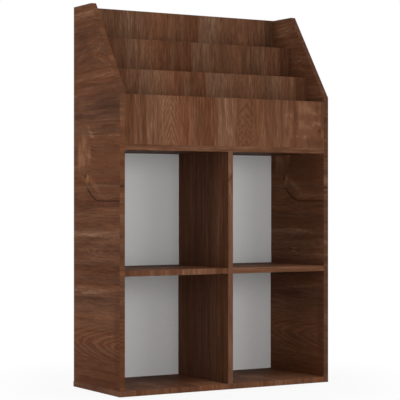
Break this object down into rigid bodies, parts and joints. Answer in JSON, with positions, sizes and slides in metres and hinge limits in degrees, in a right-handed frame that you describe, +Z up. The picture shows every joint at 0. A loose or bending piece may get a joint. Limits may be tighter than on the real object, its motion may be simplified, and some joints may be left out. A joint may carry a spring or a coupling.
{
  "type": "periodical display rack",
  "caption": "Free-standing rack of walnut-faced boards: open cubbies below, and above them a stepped display between sloping sides, with upright pockets for magazines or picture books.",
  "frame": {"origin": "middle of the base panel's underside, on the floor", "axes": "+Z up, +X to the right as seen from the front, the open front faces -Y and the back +Y"},
  "size_m": [0.7, 0.29, 1.102],
  "materials": {
    "walnut_melamine": "satin walnut print",
    "white_hardboard": "smooth white face",
    "beech_dowel": "raw turned beech",
    "zinc_cam": "die-cast zinc",
    "steel_fastener": "zinc-plated steel"
  },
  "bodies": {
    "root": {"base_panel": "walnut_melamine", "base_screw_divider_front": "steel_fastener", "base_screw_divider_rear": "steel_fastener", "base_screw_left_front": "steel_fastener", "base_screw_left_rear": "steel_fastener", "base_screw_right_front": "steel_fastener", "base_screw_right_rear": "steel_fastener", "centre_divider": "walnut_melamine", "deck_cam_bolt_left": "steel_fastener", "deck_cam_bolt_right": "steel_fastener", "deck_cam_left": "zinc_cam", "deck_cam_right": "zinc_cam", "deck_dowel_left": "beech_dowel", "deck_dowel_right": "beech_dowel", "display_deck": "walnut_melamine", "divider_through_dowel_front": "beech_dowel", "divider_through_dowel_rear": "beech_dowel", "divider_top_dowel_front": "beech_dowel", "divider_top_dowel_rear": "beech_dowel", "front_fascia": "walnut_melamine", "front_fascia_dowel_foot": "beech_dowel", "front_fascia_dowel_left": "beech_dowel", "front_fascia_dowel_right": "beech_dowel", "left_shelf": "walnut_melamine", "left_shelf_dowel_front": "beech_dowel", "left_shelf_dowel_rear": "beech_dowel", "left_side": "walnut_melamine", "lower_back_sheet": "white_hardboard", "middle_pocket_floor": "walnut_melamine", "middle_pocket_floor_dowel_left_front": "beech_dowel", "middle_pocket_floor_dowel_left_rear": "beech_dowel", "middle_pocket_floor_dowel_right_front": "beech_dowel", "middle_pocket_floor_dowel_right_rear": "beech_dowel", "middle_riser": "walnut_melamine", "middle_riser_dowel_foot": "beech_dowel", "middle_riser_dowel_left": "beech_dowel", "middle_riser_dowel_right": "beech_dowel", "rear_pocket_floor": "walnut_melamine", "rear_pocket_floor_dowel_left_front": "beech_dowel", "rear_pocket_floor_dowel_left_rear": "beech_dowel", "rear_pocket_floor_dowel_right_front": "beech_dowel", "rear_pocket_floor_dowel_right_rear": "beech_dowel", "rear_riser": "walnut_melamine", "rear_riser_dowel_foot": "beech_dowel", "rear_riser_dowel_left": "beech_dowel", "rear_riser_dowel_right": "beech_dowel", "right_shelf": "walnut_melamine", "right_shelf_dowel_front": "beech_dowel", "right_shelf_dowel_rear": "beech_dowel", "right_side": "walnut_melamine", "upper_back": "walnut_melamine", "upper_back_cam_bolt_left": "steel_fastener", "upper_back_cam_bolt_right": "steel_fastener", "upper_back_cam_left": "zinc_cam", "upper_back_cam_right": "zinc_cam", "upper_back_dowel_left": "beech_dowel", "upper_back_dowel_right": "beech_dowel", "upper_back_sheet": "white_hardboard"}
  },
  "joints": []
}
